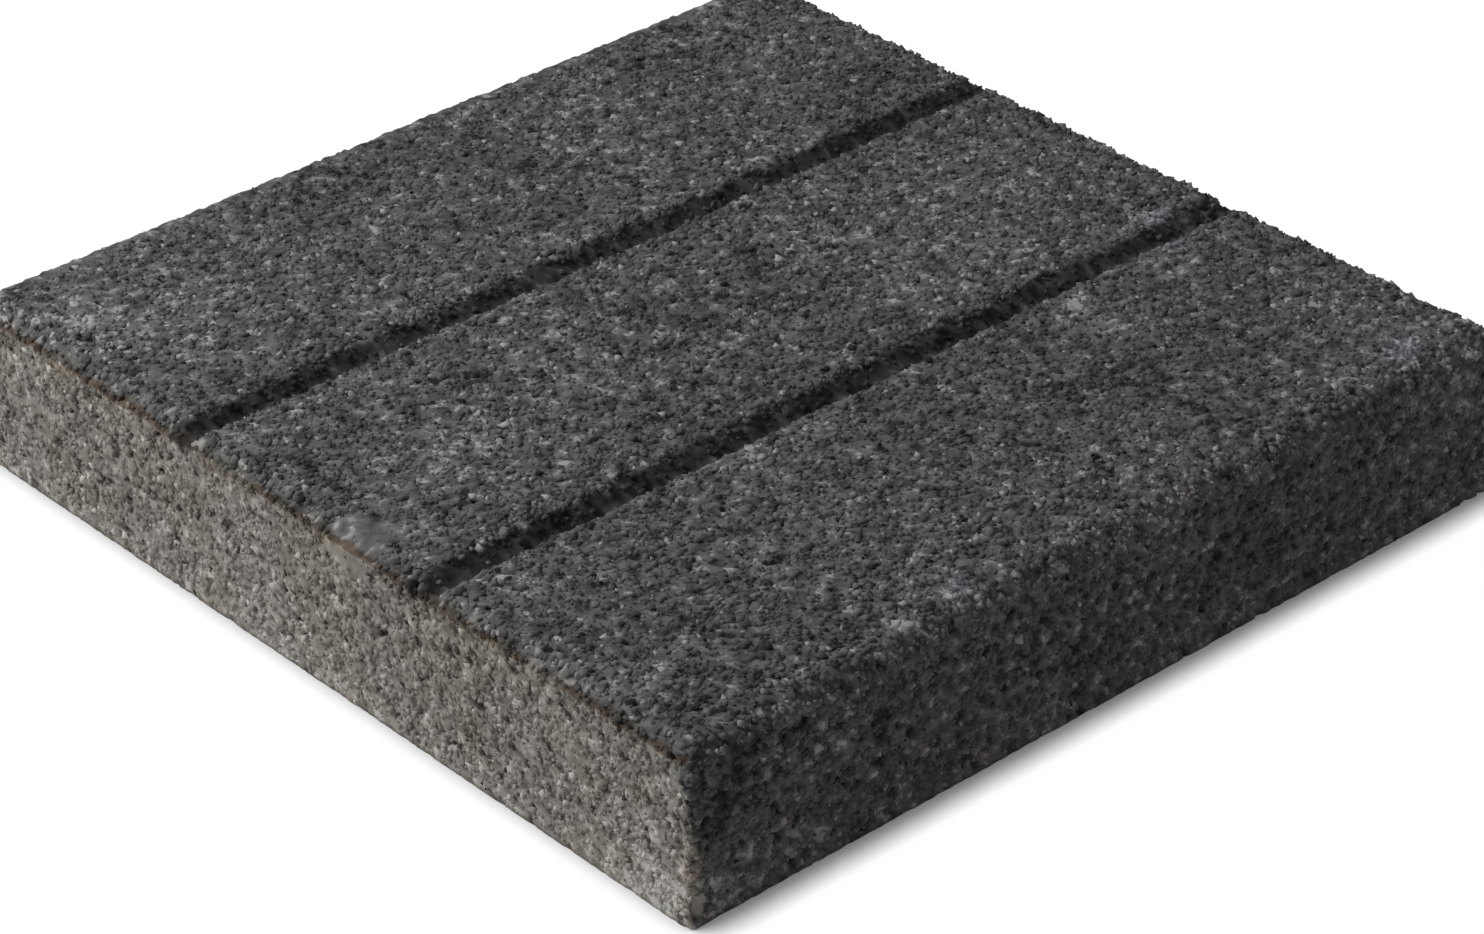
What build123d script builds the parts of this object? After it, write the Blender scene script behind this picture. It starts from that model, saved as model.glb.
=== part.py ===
"""Square concrete paving slab. Two false joints divide its wearing face into three equal strips,
and a bevel runs round the wearing face, so that laid slabs show the same joint between them.

Origin: the middle of the bedding face. +Z is up, X runs across the false joints and Y along them.
"""

import os
from math import atan2, degrees

from build123d import *

# Driving dimensions, in millimetres
slab_width = 400.0  # across the false joints
slab_length = 400.0  # along the false joints
slab_height = 70.0  # from the bedding face up to the wearing face
strip_count = 3  # equal strips on the wearing face, with a false joint between each two
joint_width = 13.5  # false joint, across its mouth
joint_floor = 1.5  # false joint, across its flat bottom
joint_depth = 6.0
bevel_width = 6.0  # bevel round the wearing face, measured in from the side
bevel_depth = 6.0  # the same bevel, measured down the side
shoulder_radius = 2.0  # rounding along the wearing face's edges
corner_radius = 2.0  # rounding of the four upright corners

# Sizes that follow from them
strip_pitch = slab_width / strip_count
joint_flank_angle = degrees(atan2(joint_depth, (joint_width - joint_floor) / 2))

with BuildPart() as paving_slab:
    # Block, standing on its bedding face
    with BuildSketch():
        Rectangle(slab_width, slab_length)
    extrude(amount=slab_height)

    # Bevel round the wearing face
    wearing_face = paving_slab.faces().sort_by(Axis.Z)[-1]
    chamfer(wearing_face.edges(), length=bevel_width, length2=bevel_depth, reference=wearing_face)

    # Upright corners
    fillet(paving_slab.edges().filter_by(Axis.Z), radius=corner_radius)

    # False joints, open at both ends
    with BuildSketch(Plane.XZ):
        with Locations((0, slab_height)):
            with GridLocations(strip_pitch, 0, strip_count - 1, 1):
                Trapezoid(
                    joint_width,
                    joint_depth,
                    joint_flank_angle,
                    rotation=180,
                    align=(Align.CENTER, Align.MIN),
                )
    extrude(amount=slab_length / 2, both=True, mode=Mode.SUBTRACT)

    # Rounded shoulders of the strips
    strip_faces = paving_slab.faces().filter_by(Axis.Z).group_by(Axis.Z)[-1]
    fillet(strip_faces.edges(), radius=shoulder_radius)

paving_slab.part.label = "paving_slab"

os.makedirs("parts", exist_ok=True)
export_step(paving_slab.part, "parts/paving_slab.step")
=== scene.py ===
"""Looks of the concrete paving slab: coarse pressed concrete, dark on its wearing face and sides,
with paler, warmer ends.

The surface is one closed grid that follows the slab's section and is roughened by seeded noise.
Sand grains stand out of it all over, in a mesh for each part of the surface. All sizes are in
metres.
"""

import math

import bmesh
import bpy
import numpy as np
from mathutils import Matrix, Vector, noise


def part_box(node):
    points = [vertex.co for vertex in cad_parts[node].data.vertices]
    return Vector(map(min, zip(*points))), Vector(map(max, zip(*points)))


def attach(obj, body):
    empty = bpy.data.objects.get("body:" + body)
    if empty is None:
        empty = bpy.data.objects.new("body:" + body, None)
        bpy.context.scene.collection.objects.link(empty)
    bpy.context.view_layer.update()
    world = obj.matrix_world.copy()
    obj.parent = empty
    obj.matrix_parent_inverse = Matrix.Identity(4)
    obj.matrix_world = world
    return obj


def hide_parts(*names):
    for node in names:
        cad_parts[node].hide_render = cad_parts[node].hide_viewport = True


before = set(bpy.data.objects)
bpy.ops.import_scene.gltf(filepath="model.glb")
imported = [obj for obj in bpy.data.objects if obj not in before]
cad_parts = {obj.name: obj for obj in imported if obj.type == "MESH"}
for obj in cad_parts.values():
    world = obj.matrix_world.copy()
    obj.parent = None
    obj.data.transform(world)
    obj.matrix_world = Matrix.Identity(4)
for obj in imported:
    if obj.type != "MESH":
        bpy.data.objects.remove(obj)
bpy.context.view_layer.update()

MM = 0.001

# The slab, as the part's source has it, but with its upright corners a little rounder
SLAB = "paving_slab"
LOW, HIGH = (np.array(corner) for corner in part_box(SLAB))
HALF_WIDTH = HIGH[0]
HALF_LENGTH = HIGH[1]
HEIGHT = HIGH[2]
BEVEL = 6.0 * MM
JOINT_DEPTH = 6.0 * MM
JOINT_WIDTH = 13.5 * MM
JOINT_FLOOR = 1.5 * MM
JOINT_PLACE = HALF_WIDTH / 3
JOINTS = (-JOINT_PLACE, JOINT_PLACE)
JOINT_MARGIN = 2.0 * MM
CORNER_RADIUS = 2.5 * MM

# The surface's grid, with its points moved aside by a share of a cell
SURFACE_SEED = 7
CELL = 1.9 * MM
CELL_JITTER = 0.3
SHOULDER = 1.8 * MM

# Lumps and grit of the surface, and how far it lies inside the smooth slab
LUMP_SIZE = 9.0 * MM
LUMP_HEIGHT = 0.5 * MM
GRIT_SIZE = 3.2 * MM
GRIT_HEIGHT = 0.7 * MM
FINE_HEIGHT = 0.2 * MM
SINK = 0.8 * MM

# Pits, more of them at the ends; their radii are shares of the spacing
PIT_SPACING = 6.0 * MM
PIT_RADIUS = 0.3
PIT_CLEAR = 0.34
PIT_SHARE = 0.2
END_PIT_SHARE = 0.35
END_REACH = 4.0 * MM
PIT_DEPTH = 2.2 * MM
PIT_SCATTER = 10

# Nicked edges: round the ends and, weaker, along the joints' mouths
NICK_SIZE = 8.0 * MM
NICK_LEVEL = 0.1
NICK_REACH = 10.0 * MM
NICK_DEPTH = 3.0 * MM
MOUTH_RELIEF = 3.0 * MM

# Calmer places: the foot, the joints and a smooth patch at the wearing face's front edge
CALM_REACH = 9.0 * MM
CALM_LEAST = 0.25
FOOT_SLOPE = 3
FOOT_EASE = 8.0 * MM
JOINT_CALM = 0.9
RAGGED_CALM = 0.75
PATCH = np.array((25.0, -195.0)) * MM
PATCH_RADIUS = 6.0 * MM

# Smooth left edge of the wearing face
SHOULDER_REACH = 6.0 * MM
SHOULDER_LEAST = 0.15

# Shares of the sinking at the left edge, at the foot and at the joints' right lips
SHOULDER_SINK = 0.5
FOOT_REACH = 6.0 * MM
FOOT_SINK = 0.3
LIP_REACH = 4.0 * MM
LIP_DROP = 2.0 * MM
LIP_SINK = 0.25

# Broken corner at the foot, at full depth within half its radius, with a dark rim
CHIP = np.array((200.0, -195.0, 8.0)) * MM
CHIP_RADIUS = 4.5 * MM
CHIP_DEPTH = 2.0 * MM
CHIP_RIM_PLACE = 1.1
CHIP_RIM_WIDTH = 0.2
CHIP_RIM_TONE = -0.5

# Tones of the surface between the grains, among them one per millimetre of relief, which paints
# shade into the hollows and light onto the bumps
MEAN_TONE = 0.5
RELIEF_SHADING_TONE = 0.35
# Painted shade in the pits
PIT_SHADE_TONE = -0.7
TONE_SPREAD = 0.14
CALM_TONE = 0.08
# Painted shade along the very foot, where the slab meets the floor
FOOT_SHADE_TONE = -0.2

# Blotches and worn edges
BLOTCH_SIZE = 4.0 * MM
BLOTCH_TONE = 0.6
WORN_REACH = 9.0 * MM
WORN_TONE = 0.16
RIGHT_TONE = 0.06

# Paler and darker places, in millimetres: x, y, z, radius and how much paler
PLACES = (
    (-162, -179, 70, 14, 0.36),
    (-137, -180, 70, 12, 0.22),
    (-106, -168, 70, 10, 0.2),
    (25, -195, 68, 9, 0.12),
    (11, -139, 70, 22, 0.14),
    (-165, 53, 70, 30, 0.1),
    (154, -172, 70, 8, 0.3),
    (189, -73, 70, 5, 0.5),
    (189, -99, 70, 4, 0.45),
    (64, 164, 70, 14, 0.2),
    (84, 96, 70, 6, 0.35),
    (30, 95, 70, 40, 0.12),
    (186, 159, 70, 10, 0.25),
    (-27, -97, 70, 4, -0.5),
    (185, -200, 8, 28, 0.4),
    (-30, -200, 8, 30, 0.12),
    (200, -185, 52, 26, -0.3),
    (200, -50, 52, 20, -0.12),
    (200, -194, 8, 5, 0.2),
    (140, -20, 70, 120, -0.03),
    (198, 54, 68, 3, -0.5),
    (135, 130, 70, 2.5, -0.5),
    (163, 88, 70, 2.5, -0.5),
    (198, 133, 57, 6, -0.25),
    (200, -194, 40, 16, -0.3),
    (200, -141, 11, 4, 0.5),
    (200, -113, 44, 5, -0.5),
    (200, 180, 45, 30, 0.1),
    (194, -200, 46, 12, 0.3),
    (-30, -188, 69, 12, -0.25),
    (151, 82, 70, 22, -0.15),
    (197, 165, 67, 9, -0.3),
    (46, 40, 70, 10, -0.2),
)

# Sand grains: how many there are, with barer and fuller places
GRAIN_SEED = 11
GRAIN_PARTS = ("left_strip", "middle_strip", "right_strip", "ends", "sides")
GRAINS_PER_CELL = 1.15
BARE_SIZE = 22.0 * MM
COVER = 1.2
COVER_SPREAD = 1.6
COVER_LIMITS = (0.75, 1.3)
JOINT_COVER = 0.5

# Least part of a normal along an axis where the surface faces that way
FACING = 0.5

# Shapes of the grains: octahedra, set into the surface by shares of their radius
CORNERS = np.concatenate([np.eye(3), -np.eye(3)])
FACES = np.array(
    [(0, 1, 2), (1, 3, 2), (3, 4, 2), (4, 0, 2), (1, 0, 5), (3, 1, 5), (4, 3, 5), (0, 4, 5)]
)
GRAIN_RADIUS = 1.5 * MM
RADIUS_SPREAD = 0.3
RADIUS_LIMITS = (0.4, 1.5)
CALM_RADIUS = 0.5
QUARTZ_RADIUS = 1.25
STRETCH = (0.7, 1.3)
GRAIN_SET = (-0.8, -0.1)
GRAIN_SINK = 0.8
GRAIN_SHIFT = 0.5

# Tones of the grains, and the shares of quartz and basalt in each of the parts
GRAIN_TONE = 0.52
GRAIN_SPREAD = 0.08
CORNER_SPREAD = 0.06
PALE_SHARE = 0.03
PALE_TONE = 0.45
RIGHT_PALE_TONE = 0.15
QUARTZ_SHARES = (0.002, 0.006, 0.001, 0.002, 0.0005)
QUARTZ_TONE = 0.5
BASALT_SHARES = (0.015, 0.02, 0.02, 0.04, 0.02)
BASALT_TONE = -0.5

# The photo's camera, with the image's width and the focal length in pixels
PHOTO_WIDTH = 1484
FOCAL_PIXELS = 4772
SENSOR = 36.0
VIEW_AZIMUTH = math.radians(47.55)
VIEW_ELEVATION = math.radians(31.973)
VIEW_POINT = Vector((1.1210, -1.0200, 0.9476))
VIEW_NEAR = 0.05
VIEW_FAR = 50

# Light
KEY_DIRECTION = Vector((-0.44, -0.53, 0.72)).normalized()
KEY_DISTANCE = 1.7
KEY_SIZE = 0.6
KEY_LEVEL = 0.88
SKY_COLOUR = (1.0, 1.0, 1.0, 1.0)
SKY_LEVEL = 0.25

# Floor: how open it is to the lamp and all round, and how white it looks there
FLOOR_SIZE = 20
FLOOR_COLOUR = (0.8, 0.8, 0.8, 1.0)
FLOOR_GLOW = 0.9
SHADOW_REACH = 15 * MM
SHADOW_OPEN = (0.45, 0.93)
SHADOW_WHITE = (0.2, 1.09)
CREASE_REACH = 12 * MM
CREASE_OPEN = (0.45, 0.95)
CREASE_WHITE = (0.8, 1.0)


def grid_lines(marks):
    """Grid lines through the marks, about a cell apart."""
    spans = [
        np.linspace(a, b, max(1, round((b - a) / CELL)), endpoint=False)
        for a, b in zip(marks, marks[1:])
    ]
    return np.append(np.concatenate(spans), marks[-1])


def ramp(inside):
    """Depth of a 45 degree flank by the distance inside its edge, with a rounded shoulder."""
    return (inside + np.sqrt(inside**2 + SHOULDER**2)) / 2


def wearing_height(x, y):
    """Height of the wearing face, with its false joints and its bevel."""
    joints = [ramp(JOINT_WIDTH / 2 - np.abs(x - joint)) for joint in JOINTS]
    side = ramp(np.abs(x) - HALF_WIDTH + BEVEL)
    end = ramp(np.abs(y) - HALF_LENGTH + BEVEL)
    drop = np.maximum.reduce([*joints, side, end])
    return HEIGHT - np.minimum(drop, JOINT_DEPTH)


def round_corners(x, y):
    """The plan's square corners drawn in to quarter circles."""
    over_x = np.abs(x) - HALF_WIDTH + CORNER_RADIUS
    over_y = np.abs(y) - HALF_LENGTH + CORNER_RADIUS
    in_corner = (over_x > 0) & (over_y > 0)
    reach = np.where(in_corner, np.hypot(over_x, over_y), 1.0)
    share = np.where(in_corner, np.maximum(over_x, over_y) / reach, 1.0)
    new_x = np.sign(x) * (HALF_WIDTH - CORNER_RADIUS + over_x * share)
    new_y = np.sign(y) * (HALF_LENGTH - CORNER_RADIUS + over_y * share)
    return np.where(in_corner, new_x, x), np.where(in_corner, new_y, y)


def plan_lines():
    """Grid lines of the plan, among them the edges of the bevel and of the false joints."""
    marks = [-HALF_WIDTH, -HALF_WIDTH + BEVEL]
    for joint in JOINTS:
        marks += [joint - JOINT_WIDTH / 2, joint - JOINT_FLOOR / 2]
        marks += [joint + JOINT_FLOOR / 2, joint + JOINT_WIDTH / 2]
    marks += [HALF_WIDTH - BEVEL, HALF_WIDTH]
    ends = [-HALF_LENGTH, -HALF_LENGTH + BEVEL, HALF_LENGTH - BEVEL, HALF_LENGTH]
    return grid_lines(marks), grid_lines(ends)


def slab_grid():
    """Points and faces of the smooth slab, open below, and the ring of points at its foot."""
    lines_x, lines_y = plan_lines()
    x, y = (part.ravel() for part in np.meshgrid(lines_x, lines_y))
    z = wearing_height(x, y)
    x, y = round_corners(x, y)
    total = len(x)
    index = np.arange(total).reshape(len(lines_y), len(lines_x))
    corners = (index[:-1, :-1], index[:-1, 1:], index[1:, 1:], index[1:, :-1])
    faces = [np.stack([part.ravel() for part in corners], axis=1)]
    ring = np.concatenate([index[0, :-1], index[:-1, -1], index[-1, :0:-1], index[:0:-1, 0]])
    points = [np.stack([x, y, z], axis=1)]
    upper = ring
    for level in grid_lines([0, HEIGHT - BEVEL])[-2::-1]:
        points.append(np.stack([x[ring], y[ring], np.full(len(ring), level)], axis=1))
        lower = total + np.arange(len(ring))
        total += len(ring)
        sides = (upper, lower, np.roll(lower, -1), np.roll(upper, -1))
        faces.append(np.stack(sides, axis=1))
        upper = lower
    return np.concatenate(points), np.concatenate(faces), upper


def add_object(mesh):
    """Object of a mesh's own name, linked to the scene."""
    made = bpy.data.objects.new(mesh.name, mesh)
    bpy.context.scene.collection.objects.link(made)
    return made


def make_slab():
    """The closed, smooth slab as a mesh object."""
    points, faces, foot = slab_grid()
    mesh = bpy.data.meshes.new("slab_concrete")
    mesh.from_pydata(points.tolist(), [], faces.tolist())
    work = bmesh.new()
    work.from_mesh(mesh)
    work.verts.ensure_lookup_table()
    rim = [work.verts[i] for i in foot]
    edges = [work.edges.get((a, b)) for a, b in zip(rim, rim[1:] + rim[:1])]
    bmesh.ops.triangle_fill(work, edges=edges, use_beauty=True)
    bmesh.ops.recalc_face_normals(work, faces=work.faces)
    work.to_mesh(mesh)
    mesh.shade_smooth()
    work.free()
    return add_object(mesh)


def mesh_points(mesh):
    """Places and normals of a mesh's points."""
    places = np.empty(len(mesh.vertices) * 3)
    normals = np.empty(len(mesh.vertices) * 3)
    mesh.vertices.foreach_get("co", places)
    mesh.vertex_normals.foreach_get("vector", normals)
    return places.reshape(-1, 3), normals.reshape(-1, 3)


def waves(points, size):
    """Smooth noise from -1 to 1."""
    return np.array([noise.noise(p) for p in (points / size).tolist()])


def near_pits(points):
    """Distance to the nearest pit as a share of the pits' spacing, and 1 where there is none."""
    distances = np.ones(len(points))
    at_end = HALF_LENGTH - np.abs(points[:, 1]) < END_REACH
    shares = np.where(at_end, END_PIT_SHARE, PIT_SHARE)
    for i, point in enumerate((points / PIT_SPACING).tolist()):
        far, seeds = noise.voronoi(point)
        if noise.cell(seeds[0] * PIT_SCATTER) < 2 * shares[i] - 1:
            distances[i] = far[0]
    return distances


def edge_distances(points):
    """Four distances: from the nicked edges, from those of them on the wearing face, from its
    smooth left edge, and from the calm places.
    """
    x, y, z = points.T
    side = HALF_WIDTH - np.abs(x)
    end = HALF_LENGTH - np.abs(y)
    top = HEIGHT - z
    foot = np.maximum(np.minimum(side, end), z) * FOOT_SLOPE + FOOT_EASE
    shoulder = np.maximum(HALF_WIDTH + x, top) - BEVEL
    from_mouth = np.abs(np.abs(np.abs(x) - JOINT_PLACE) - JOINT_WIDTH / 2)
    patch = np.maximum(np.hypot(x - PATCH[0], y - PATCH[1]) - PATCH_RADIUS, top - BEVEL)
    mouth = np.maximum(from_mouth, top) + MOUTH_RELIEF
    ragged = np.minimum(np.maximum(end, np.minimum(top, side)), mouth)
    crest = np.minimum(np.maximum(end, top), mouth)
    return ragged, crest, shoulder, np.minimum(foot, patch)


def in_joint(points):
    """Which points lie in a false joint."""
    aside = np.abs(np.abs(points[:, 0]) - JOINT_PLACE)
    above = points[:, 2] > HEIGHT - JOINT_DEPTH - JOINT_MARGIN
    return (aside < JOINT_WIDTH / 2) & above


def from_chip(points):
    """Distance from the middle of the broken corner."""
    return np.linalg.norm(points - CHIP, axis=1)


def bloom(points):
    """How much paler than usual the surface is at each point: blotches, worn edges and places."""
    x, y, z = points.T
    rim = np.minimum(HALF_LENGTH - np.abs(y), HALF_WIDTH - np.abs(x))
    from_edge = np.maximum(rim, HEIGHT - z)
    from_right = np.maximum(HALF_WIDTH - x, HEIGHT - z)
    paler = BLOTCH_TONE * waves(points, BLOTCH_SIZE)
    paler += WORN_TONE * np.clip(1 - from_edge / WORN_REACH, 0, 1)
    paler += RIGHT_TONE * np.clip(1 - from_right / WORN_REACH, 0, 1)
    for *place, radius, strength in PLACES:
        far = np.linalg.norm(points / MM - place, axis=1) / radius
        paler += strength * np.exp(-far**2)
    from_rim = (from_chip(points) / CHIP_RADIUS - CHIP_RIM_PLACE) / CHIP_RIM_WIDTH
    return paler + CHIP_RIM_TONE * np.exp(-(from_rim**2))


def set_tone(mesh, tone):
    """Keeps each point's tone, from 0 for dark to 1 for pale, for the material."""
    layer = mesh.attributes.new("tone", "FLOAT", "POINT")
    layer.data.foreach_set("value", tone.astype(np.float32))


def sinking(points, even):
    """How far the surface lies inside the smooth slab, less at edges that its outline shows."""
    sink = SINK * np.maximum(even, SHOULDER_SINK)
    sink *= np.clip(points[:, 2] / FOOT_REACH, FOOT_SINK, 1)
    for joint in JOINTS:
        from_lip = np.abs(points[:, 0] - joint - JOINT_WIDTH / 2)
        from_lip = np.maximum(from_lip, HEIGHT - points[:, 2] - LIP_DROP)
        sink *= np.clip(from_lip / LIP_REACH, LIP_SINK, 1)
    return sink


def roughen(slab):
    """Moves the smooth slab's points by lumps, grit, pits, nicked edges and the broken corner.

    It returns the points, their normals, how rough the surface is there, how far its grains stand
    out, and the distances to a pit.
    """
    mesh = slab.data
    points, normals = mesh_points(mesh)
    count = len(points)
    at_foot = points[:, 2] < CELL / 2
    normals[at_foot, 2] = 0
    rng = np.random.default_rng(SURFACE_SEED)
    ragged, crest, shoulder, still = edge_distances(points)
    calm = np.clip(still / CALM_REACH, CALM_LEAST, 1)
    even = np.clip(shoulder / SHOULDER_REACH, SHOULDER_LEAST, 1)
    calm[in_joint(points)] *= JOINT_CALM
    lumps = waves(points, LUMP_SIZE) * LUMP_HEIGHT
    grit = waves(points, GRIT_SIZE) * GRIT_HEIGHT
    nicks = np.clip(waves(points, NICK_SIZE) - NICK_LEVEL, 0, 1)
    nicks *= np.clip(1 - ragged / NICK_REACH, 0, 1)
    jitter = rng.uniform(-CELL_JITTER, CELL_JITTER, points[~at_foot].shape)
    points[~at_foot] += jitter * CELL
    relief = lumps + grit + rng.normal(0, FINE_HEIGHT, count)
    near_pit = near_pits(points)
    pits = np.clip(1 - near_pit / PIT_RADIUS, 0, 1) ** 0.5
    height = (relief - pits * PIT_DEPTH) * calm * even - nicks * NICK_DEPTH
    height -= sinking(points, even)
    moved = points + normals * height[:, None]
    chip = np.clip(2 - 2 * from_chip(moved) / CHIP_RADIUS, 0, 1)
    moved -= normals * (chip * CHIP_DEPTH)[:, None]
    moved = np.clip(moved, LOW, HIGH)
    mesh.vertices.foreach_set("co", moved.ravel())
    mesh.update()
    # The tone carries painted shade in the hollows and pits and painted light on the bumps
    uneven = RELIEF_SHADING_TONE * relief / MM + PIT_SHADE_TONE * pits + rng.normal(0, TONE_SPREAD, count)
    tone = MEAN_TONE + uneven * calm + CALM_TONE * (1 - calm)
    # Painted shade along the very foot, where the slab meets the floor
    set_tone(mesh, tone + bloom(points) + FOOT_SHADE_TONE * at_foot)
    settled = calm * even * np.clip(RAGGED_CALM + crest / CALM_REACH, 0, 1)
    return moved, normals, calm, settled, near_pit


def grain_parts(points, normals):
    """Which part of the surface each point is on, as a place in GRAIN_PARTS."""
    strip = np.searchsorted(JOINTS, points[:, 0])
    to_end = np.abs(normals[:, 1]) > np.abs(normals[:, 0])
    upright = np.where(to_end, GRAIN_PARTS.index("ends"), GRAIN_PARTS.index("sides"))
    return np.where(normals[:, 2] > FACING, strip, upright)


def grain_spots(rng, points, normals, calm, near_pit):
    """Numbers of the surface's points that have grains, each as often as it has grains."""
    cover = np.clip(COVER + COVER_SPREAD * waves(points, BARE_SIZE), *COVER_LIMITS)
    share = GRAINS_PER_CELL * calm * cover
    share /= np.abs(normals).max(axis=1)
    share[points[:, 2] < GRAIN_RADIUS] = 0
    share[in_joint(points)] *= JOINT_COVER
    share[near_pit < PIT_CLEAR] = 0
    share[from_chip(points) < CHIP_RADIUS] = 0
    return np.repeat(np.arange(len(points)), (share + rng.random(len(points))).astype(int))


def grain_piece(name, shapes, tone):
    """Object of grains, from the places and the tones of each one's corners."""
    starts = len(CORNERS) * np.arange(len(shapes))
    faces = (FACES[None] + starts[:, None, None]).reshape(-1, 3)
    mesh = bpy.data.meshes.new(name)
    mesh.from_pydata(shapes.reshape(-1, 3).tolist(), [], faces.tolist())
    mesh.shade_smooth()
    set_tone(mesh, tone.ravel())
    return add_object(mesh)


def make_grains(points, normals, calm, settled, near_pit):
    """Sand grains that stand out of the surface, an object for each of its parts."""
    rng = np.random.default_rng(GRAIN_SEED)
    spots = grain_spots(rng, points, normals, calm, near_pit)
    count = len(spots)
    points = points[spots]
    normals = normals[spots]
    settled = settled[spots]
    part_of = grain_parts(points, normals)
    turns = np.linalg.qr(rng.normal(size=(count, 3, 3)))[0]
    turns *= np.sign(np.linalg.det(turns))[:, None, None]
    radius = GRAIN_RADIUS * rng.lognormal(0, RADIUS_SPREAD, count).clip(*RADIUS_LIMITS)
    radius *= CALM_RADIUS + (1 - CALM_RADIUS) * settled
    quartz = rng.random(count) < np.take(QUARTZ_SHARES, part_of)
    radius[quartz] *= QUARTZ_RADIUS
    basalt = rng.random(count) < np.take(BASALT_SHARES, part_of)
    stretch = radius[:, None] * rng.uniform(*STRETCH, (count, 3))
    lift = radius * (rng.uniform(*GRAIN_SET, count) - GRAIN_SINK * (1 - settled))
    aside = rng.uniform(-GRAIN_SHIFT, GRAIN_SHIFT, (count, 3)) * CELL
    aside -= normals * np.sum(aside * normals, axis=1)[:, None]
    middles = points + aside + normals * lift[:, None]
    shapes = np.clip(middles[:, None] + (CORNERS * stretch[:, None, :]) @ turns, LOW, HIGH)
    pale = np.where(normals[:, 0] > FACING, RIGHT_PALE_TONE, PALE_TONE)
    tone = rng.normal(GRAIN_TONE, GRAIN_SPREAD, count)
    tone += pale * (rng.random(count) < PALE_SHARE)
    tone += bloom(middles) + QUARTZ_TONE * quartz + BASALT_TONE * basalt
    tone = tone[:, None] + rng.normal(0, CORNER_SPREAD, (count, len(CORNERS)))
    made = []
    for number, part in enumerate(GRAIN_PARTS):
        inside = part_of == number
        made.append(grain_piece("grains_" + part, shapes[inside], tone[inside]))
    return made


# Shader noise, and the Mix node's sockets for colours
NOISE_DETAIL = 2.0
NOISE_ROUGHNESS = 0.5
MIX_SHARE = 0
MIX_FIRST = 6
MIX_SECOND = 7
MIX_RESULT = 2


class Tree:
    """Adds nodes to a node tree. An input is a number, a colour or another node's output."""

    def __init__(self, tree):
        self.nodes = tree.nodes
        self.links = tree.links

    def put(self, socket, value):
        """Links another node's output to a socket, or sets the socket's own value."""
        if isinstance(value, bpy.types.NodeSocket):
            self.links.new(value, socket)
        else:
            socket.default_value = value

    def add(self, kind, inputs=(), **settings):
        """New node of that kind."""
        node = self.nodes.new("ShaderNode" + kind)
        for name, value in settings.items():
            setattr(node, name, value)
        for name, value in dict(inputs).items():
            self.put(node.inputs[name], value)
        return node

    def math(self, operation, *values):
        """Result of an operation on numbers."""
        node = self.add("Math", operation=operation)
        for socket, value in zip(node.inputs, values):
            self.put(socket, value)
        return node.outputs[0]

    def product(self, first, *others):
        """All values multiplied."""
        result = first
        for value in others:
            result = self.math("MULTIPLY", result, value)
        return result

    def total(self, *weighted):
        """Sum of values times their weights."""
        result = 0.0
        for value, weight in weighted:
            result = self.math("MULTIPLY_ADD", value, weight, result)
        return result

    def span(self, value, low, high, to_low=0.0, to_high=1.0):
        """Maps low..high to to_low..to_high, held at the ends."""
        inputs = {"Value": value, "From Min": low, "From Max": high}
        inputs |= {"To Min": to_low, "To Max": to_high}
        return self.add("MapRange", inputs).outputs["Result"]

    def noise(self, place, size):
        """Smooth noise about 0.5, with features of that size."""
        inputs = {"Vector": place, "Scale": 1 / size}
        inputs |= {"Detail": NOISE_DETAIL, "Roughness": NOISE_ROUGHNESS}
        return self.add("TexNoise", inputs).outputs["Fac"]

    def specks(self, place, size):
        """Scattered specks of that size: the distance from a speck's middle, and its own tone."""
        node = self.add("TexVoronoi", {"Vector": place, "Scale": 1 / size})
        tone = self.add("SeparateColor", {"Color": node.outputs["Color"]})
        return node.outputs["Distance"], tone.outputs["Red"]

    def shades(self, value, stops):
        """Colours along a value, from (place, colour) stops."""
        node = self.add("ValToRGB", {"Fac": value})
        ramp_stops = node.color_ramp.elements
        while len(ramp_stops) < len(stops):
            ramp_stops.new(0.5)
        for stop, (place, colour) in zip(ramp_stops, stops):
            stop.position = place
            stop.color = (*colour, 1.0)
        return node.outputs["Color"]

    def mix(self, share, first, second, blend="MIX"):
        """Two colours mixed, by the second one's share."""
        node = self.add("Mix", data_type="RGBA", blend_type=blend)
        self.put(node.inputs[MIX_SHARE], share)
        self.put(node.inputs[MIX_FIRST], first)
        self.put(node.inputs[MIX_SECOND], second)
        return node.outputs[MIX_RESULT]

    def tinted(self, colour, share, tint):
        """The colour, times the tint where the share is 1."""
        return self.mix(share, colour, tint, "MULTIPLY")


# Red in a warm grey, as a share of its warmth
WARM_RED = 0.7


def grey(level, warmth=0.0):
    """Grey of that lightness, a little redder and less blue by its warmth."""
    return (level * (1 + WARM_RED * warmth), level, level * (1 - warmth))


# Colours of the dark faces and of the pale ends, by tone
DARK_STOPS = [
    (0.0, grey(0.014)),
    (0.25, grey(0.05)),
    (0.5, grey(0.09)),
    (0.75, grey(0.135)),
    (1.0, grey(0.31)),
]
PALE_STOPS = [
    (0.0, grey(0.035, 0.12)),
    (0.25, grey(0.143, 0.115)),
    (0.5, grey(0.198, 0.105)),
    (0.75, grey(0.252, 0.095)),
    (1.0, grey(0.42, 0.06)),
]

# Sizes of the material's noises, and their weights in the tone
SPECK_SIZE = 2.4 * MM
SPECK_WEIGHT = 0.1
MOTTLE_SIZE = 8 * MM
MOTTLE_WEIGHT = 0.5
CLOUD_SIZE = 45 * MM
CLOUD_WEIGHT = 0.5
WANDER_SIZE = 16 * MM
TINT_SIZE = 24 * MM
TONE_SHIFT = 0.58

# Dust and painted light bounced from the floor, paler near the foot: in this and the next groups,
# a pair is where a shade starts and is full
DUST_AND_BOUNCE_WANDER = 12 * MM
DUST_AND_BOUNCE_HEIGHTS = (30 * MM, 14 * MM)
DUST_AND_BOUNCE_TONE = 0.14

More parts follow.
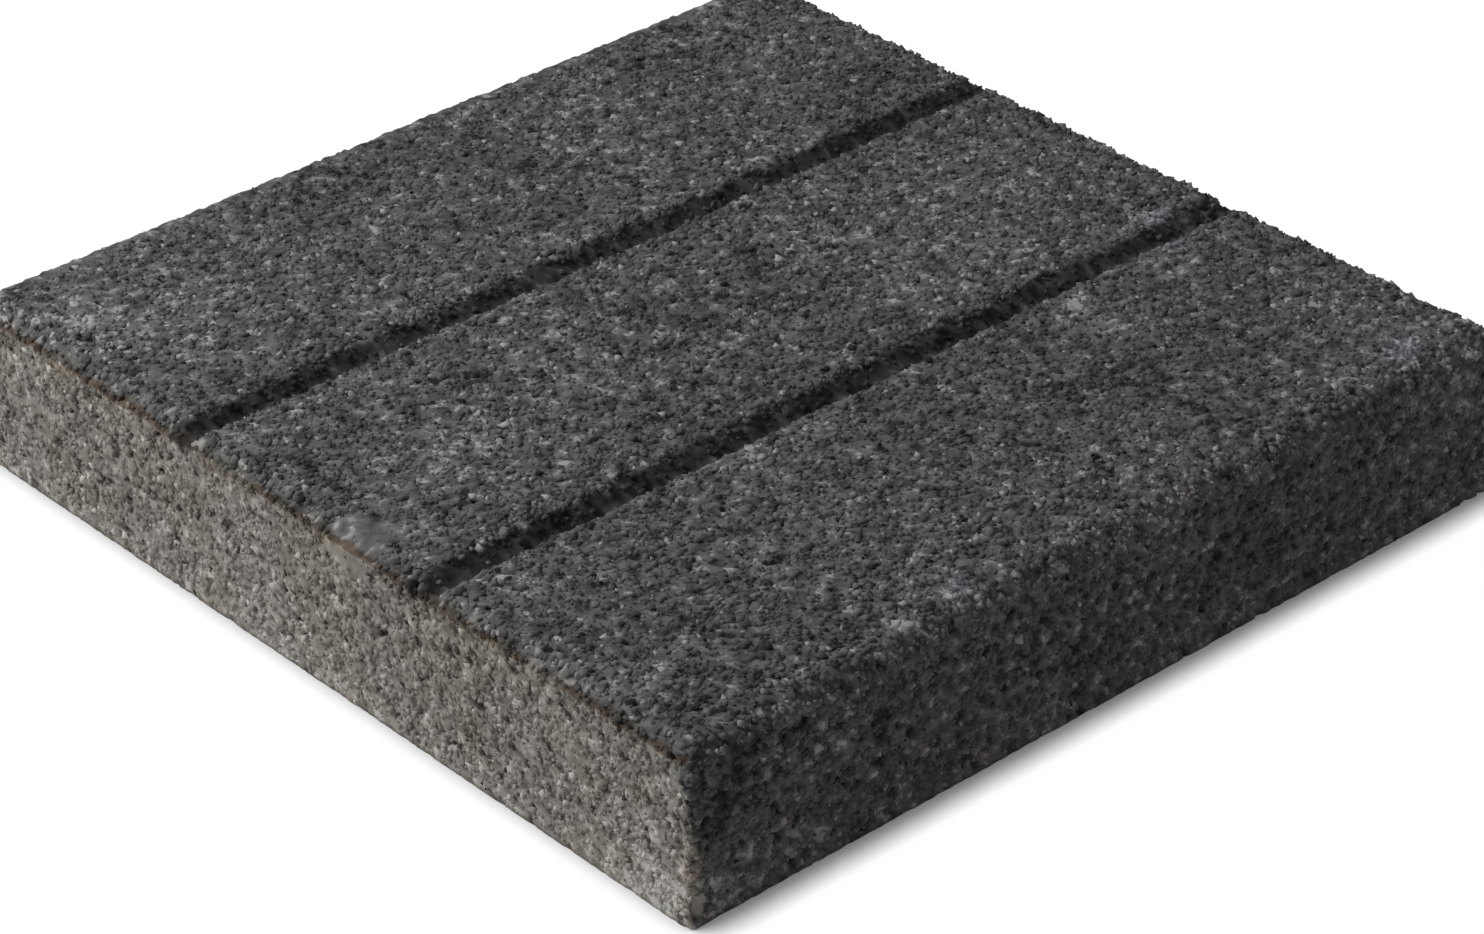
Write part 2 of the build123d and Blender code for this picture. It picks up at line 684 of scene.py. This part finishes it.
# Border of the pale ends, which wanders along the bevel and shifts with height at the corners
CORNER_REACH = 12 * MM
CORNER_WANDER = 6 * MM
CORNER_LOWER = (5 * MM, 22 * MM)
CORNER_LOWER_SHIFT = -5 * MM
CORNER_UPPER = (24 * MM, 58 * MM)
CORNER_UPPER_SHIFT = 11 * MM
CORNER_BORDER = (4.0 * MM, 2.5 * MM)
BEVEL_WANDER = 4 * MM
BEVEL_MOTTLE = 3 * MM
BEVEL_BORDER = (4.2 * MM, 3.0 * MM)

# Brown stain and thin brown line along the foot of the ends' bevel
LINE_RISE = 0.2 * MM
LINE_INSET = (4.5 * MM, 3 * MM)
LINE_WIDTH = (1.6 * MM, 0.6 * MM)
LINE_WANDER = (0.62, 0.5)
LINE_TINT = (0.43, 0.35, 0.29, 1.0)
STAIN_WIDTH = (7 * MM, 1 * MM)
STAIN_WANDER = (0.4, 0.65)
STAIN_TINT = (0.94, 0.88, 0.78, 1.0)

# Dirt and painted shade in the false joints, a little to the left of their middles, on the flank
# that faces away from the lamp
DIRT_AND_SHADE_SHIFT = 3.0 * MM
DIRT_AND_SHADE_MOTTLE = 3 * MM
DIRT_AND_SHADE_WIDTH = (JOINT_WIDTH / 2 + 2.4 * MM, JOINT_WIDTH / 2 + 0.8 * MM)
DIRT_AND_SHADE_TOP = (BEVEL - 0.8 * MM, BEVEL - 2.2 * MM)
DIRT_AND_SHADE_FOOT = (-3 * MM, -1 * MM)
DIRT_AND_SHADE_TINT = (0.37, 0.37, 0.37, 1.0)

# Faint tints
BLUE_NOISE = (0.5, 0.72)
BLUE_TINT = (0.985, 0.995, 1.025, 1.0)
WARM_NOISE = (0.5, 0.32)
WARM_TINT = (1.02, 1.0, 0.94, 1.0)
SIDE_NOISE = (0.52, 0.68)
SIDE_INSET = (8 * MM, 4 * MM)
SIDE_TINT = (1.08, 0.96, 0.98, 1.0)

# Stained spots, in millimetres: place, radius and tint
SPOT_BLUE = (0.96, 0.99, 1.07, 1.0)
SPOT_BROWN = (1.0, 0.92, 0.86, 1.0)
SPOTS = (
    ((200, -195, 8), 6, SPOT_BROWN),
    ((186, 159, 70), 12, SPOT_BLUE),
    ((64, 164, 70), 16, SPOT_BLUE),
    ((186, -66, 70), 6, SPOT_BLUE),
)

# The ends' added tone at their left and right, and the roughness of dark and pale concrete
END_TONES = (-0.05, 0.06)
ROUGHNESS = (0.96, 0.8)
SPECULAR = 0.2
BUMP_STRENGTH = 0.35
BUMP_HEIGHT = 0.5 * MM


class ConcreteTree(Tree):
    """The concrete's nodes, with the places and the noises that several of its colours use."""

    def __init__(self, tree):
        super().__init__(tree)
        self.place = self.add("TexCoord").outputs["Object"]
        axes = self.add("SeparateXYZ", {"Vector": self.place}).outputs
        self.x = axes["X"]
        self.height = axes["Z"]
        self.from_side = self.math("SUBTRACT", HALF_WIDTH, self.math("ABSOLUTE", axes["X"]))
        self.from_end = self.math("SUBTRACT", HALF_LENGTH, self.math("ABSOLUTE", axes["Y"]))
        self.up_bevel = self.math("SUBTRACT", self.height, HEIGHT - BEVEL)
        self.mottle = self.noise(self.place, MOTTLE_SIZE)
        self.wander = self.noise(self.place, WANDER_SIZE)

    def tone(self, speck_tone):
        """Tone from 0 for dark to 1 for pale: the point's own, with noises, and paler near the
        foot with dust and painted bounce light.
        """
        point_tone = self.add("Attribute", attribute_name="tone").outputs["Fac"]
        tone = self.total(
            (point_tone, 1.0),
            (speck_tone, SPECK_WEIGHT),
            (self.mottle, MOTTLE_WEIGHT),
            (self.noise(self.place, CLOUD_SIZE), CLOUD_WEIGHT),
        )
        # Paler near the foot: dust and painted light bounced from the floor
        dust_and_bounce_line = self.total((self.height, 1.0), (self.wander, DUST_AND_BOUNCE_WANDER))
        dust_and_bounce = self.span(dust_and_bounce_line, *DUST_AND_BOUNCE_HEIGHTS, 0.0, DUST_AND_BOUNCE_TONE)
        tone = self.total((tone, 1.0), (dust_and_bounce, 1.0))
        return self.math("SUBTRACT", tone, TONE_SHIFT)

    def end_share(self):
        """1 on the pale ends, up to their wandering border."""
        past_corner = self.total(
            (self.from_end, 1.0),
            (self.math("MINIMUM", self.from_side, CORNER_REACH), -1.0),
            (self.wander, CORNER_WANDER),
            (self.span(self.height, *CORNER_LOWER), CORNER_LOWER_SHIFT),
            (self.span(self.height, *CORNER_UPPER), CORNER_UPPER_SHIFT),
        )
        past_bevel = self.total(
            (self.up_bevel, 1.0),
            (self.wander, BEVEL_WANDER),
            (self.mottle, BEVEL_MOTTLE),
        )
        return self.product(
            self.span(past_corner, *CORNER_BORDER),
            self.span(past_bevel, *BEVEL_BORDER),
        )

    def lined(self, colour):
        """The colour with the brown stain and the thin brown line under the ends' bevel."""
        from_line = self.math("ABSOLUTE", self.math("SUBTRACT", self.up_bevel, LINE_RISE))
        near_end = self.span(self.from_end, *LINE_INSET)
        stain = self.product(
            self.span(from_line, *STAIN_WIDTH),
            near_end,
            self.span(self.wander, *STAIN_WANDER),
        )
        line = self.product(
            self.span(from_line, *LINE_WIDTH),
            near_end,
            self.span(self.wander, *LINE_WANDER),
        )
        return self.tinted(self.tinted(colour, stain, STAIN_TINT), line, LINE_TINT)

    def with_dirt_and_shade(self, colour):
        """The colour with dirt and painted shade in the false joints."""
        shifted = self.math("ABSOLUTE", self.math("ADD", self.x, DIRT_AND_SHADE_SHIFT))
        from_joint = self.math("ABSOLUTE", self.math("SUBTRACT", shifted, JOINT_PLACE))
        from_joint = self.total((from_joint, 1.0), (self.mottle, DIRT_AND_SHADE_MOTTLE))
        # Painted shade and dirt in the joints, darker on the flank that faces away from the lamp
        dirt_and_shade = self.product(
            self.span(from_joint, *DIRT_AND_SHADE_WIDTH),
            self.span(self.up_bevel, *DIRT_AND_SHADE_TOP),
            self.span(self.up_bevel, *DIRT_AND_SHADE_FOOT),
        )
        return self.tinted(colour, dirt_and_shade, DIRT_AND_SHADE_TINT)

    def varied(self, colour, on_end):
        """The colour, here and there bluer, on the ends warmer and on the sides more purple."""
        tint = self.noise(self.place, TINT_SIZE)
        colour = self.tinted(colour, self.span(tint, *BLUE_NOISE), BLUE_TINT)
        warmer = self.product(self.span(tint, *WARM_NOISE), on_end)
        colour = self.tinted(colour, warmer, WARM_TINT)
        purple = self.product(
            self.span(self.wander, *SIDE_NOISE),
            self.span(self.from_side, *SIDE_INSET),
        )
        return self.tinted(colour, purple, SIDE_TINT)

    def spotted(self, colour):
        """The colour with the stained spots, each full within half its radius."""
        for spot, radius, tint in SPOTS:
            inputs = {0: self.place, 1: Vector(spot) * MM}
            far = self.add("VectorMath", inputs, operation="DISTANCE").outputs["Value"]
            inside = self.span(far, radius * MM, radius * MM / 2)
            colour = self.tinted(colour, inside, tint)
        return colour


def concrete():
    """Coarse concrete, dark on top and at the sides and pale at the ends."""
    material = bpy.data.materials.new("pressed_concrete")
    material.use_nodes = True
    tree = ConcreteTree(material.node_tree)
    shader = tree.nodes["Principled BSDF"]
    speck_far, speck_tone = tree.specks(tree.place, SPECK_SIZE)
    tone = tree.tone(speck_tone)
    end_tone = tree.span(tree.x, -HALF_WIDTH, HALF_WIDTH, *END_TONES)
    dark = tree.shades(tone, DARK_STOPS)
    pale = tree.shades(tree.math("ADD", tone, end_tone), PALE_STOPS)
    on_end = tree.end_share()
    colour = tree.mix(on_end, dark, pale)
    colour = tree.lined(colour)
    colour = tree.with_dirt_and_shade(colour)
    colour = tree.varied(colour, on_end)
    colour = tree.spotted(colour)
    tree.put(shader.inputs["Base Color"], colour)
    inputs = {"Strength": BUMP_STRENGTH, "Distance": BUMP_HEIGHT, "Height": speck_far}
    bump = tree.add("Bump", inputs, invert=True)
    tree.put(shader.inputs["Normal"], bump.outputs["Normal"])
    tree.put(shader.inputs["Roughness"], tree.span(tone, 0.0, 1.0, *ROUGHNESS))
    shader.inputs["Specular IOR Level"].default_value = SPECULAR
    return material


def add_camera():
    """Camera at the photo's place, with the photo's angle of view."""
    data = bpy.data.cameras.new("camera")
    data.sensor_width = SENSOR
    data.lens = SENSOR * FOCAL_PIXELS / PHOTO_WIDTH
    data.clip_start = VIEW_NEAR
    data.clip_end = VIEW_FAR
    camera = bpy.data.objects.new("camera", data)
    camera.location = VIEW_POINT
    camera.rotation_euler = (math.pi / 2 - VIEW_ELEVATION, 0, VIEW_AZIMUTH)
    bpy.context.scene.collection.objects.link(camera)
    bpy.context.scene.camera = camera


def add_light(name, direction, distance, size, level):
    """Soft round lamp that lights a white face square to it at that level."""
    data = bpy.data.lights.new(name, "AREA")
    data.shape = "DISK"
    data.size = size
    data.energy = level * (math.pi * distance) ** 2
    lamp = bpy.data.objects.new(name, data)
    lamp.location = Vector((0, 0, HEIGHT)) + direction * distance
    lamp.rotation_euler = direction.to_track_quat("Z", "Y").to_euler()
    bpy.context.scene.collection.objects.link(lamp)


def seen_share(tree):
    """1 for rays that show the background: from the camera, mirrored or refracted."""
    path = tree.add("LightPath").outputs
    mirrored = tree.math("MAXIMUM", path["Is Glossy Ray"], path["Is Transmission Ray"])
    return tree.math("MAXIMUM", path["Is Camera Ray"], mirrored)


def add_floor():
    """Pale floor that looks white, with a narrow shadow on the side away from the lamp."""
    bpy.ops.mesh.primitive_plane_add(size=FLOOR_SIZE)
    floor = bpy.context.object
    floor.name = "floor"
    material = bpy.data.materials.new("floor")
    material.use_nodes = True
    tree = Tree(material.node_tree)
    tree.nodes.clear()
    diffuse = tree.add("BsdfDiffuse", {"Color": FLOOR_COLOUR})
    to_lamp = tree.add("CombineXYZ", dict(zip("XYZ", KEY_DIRECTION))).outputs[0]
    shadow = tree.add("AmbientOcclusion", {"Distance": SHADOW_REACH, "Normal": to_lamp})
    crease = tree.add("AmbientOcclusion", {"Distance": CREASE_REACH})
    white = tree.product(
        tree.span(shadow.outputs["AO"], *SHADOW_OPEN, *SHADOW_WHITE),
        tree.span(crease.outputs["AO"], *CREASE_OPEN, *CREASE_WHITE),
    )
    glow = tree.add("Emission", {"Strength": white})
    share = tree.product(seen_share(tree), FLOOR_GLOW)
    mixed = tree.add("MixShader", {0: share, 1: diffuse.outputs[0], 2: glow.outputs[0]})
    tree.add("OutputMaterial", {"Surface": mixed.outputs[0]})
    floor.data.materials.append(material)


def add_world():
    """Even light from all round, seen as white."""
    world = bpy.data.worlds.new("studio")
    bpy.context.scene.world = world
    world.use_nodes = True
    tree = Tree(world.node_tree)
    sky = tree.nodes["Background"]
    sky.inputs["Color"].default_value = SKY_COLOUR
    tree.put(sky.inputs["Strength"], tree.span(seen_share(tree), 0.0, 1.0, SKY_LEVEL, 1.0))


slab = make_slab()
surface = roughen(slab)
grains = make_grains(*surface)
finish = concrete()
for piece in (slab, *grains):
    piece.data.materials.append(finish)
    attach(piece, "root")
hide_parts(SLAB)
add_floor()
add_world()
add_light("key", KEY_DIRECTION, KEY_DISTANCE, KEY_SIZE, KEY_LEVEL)
add_camera()
bpy.context.scene.view_settings.view_transform = "Standard"
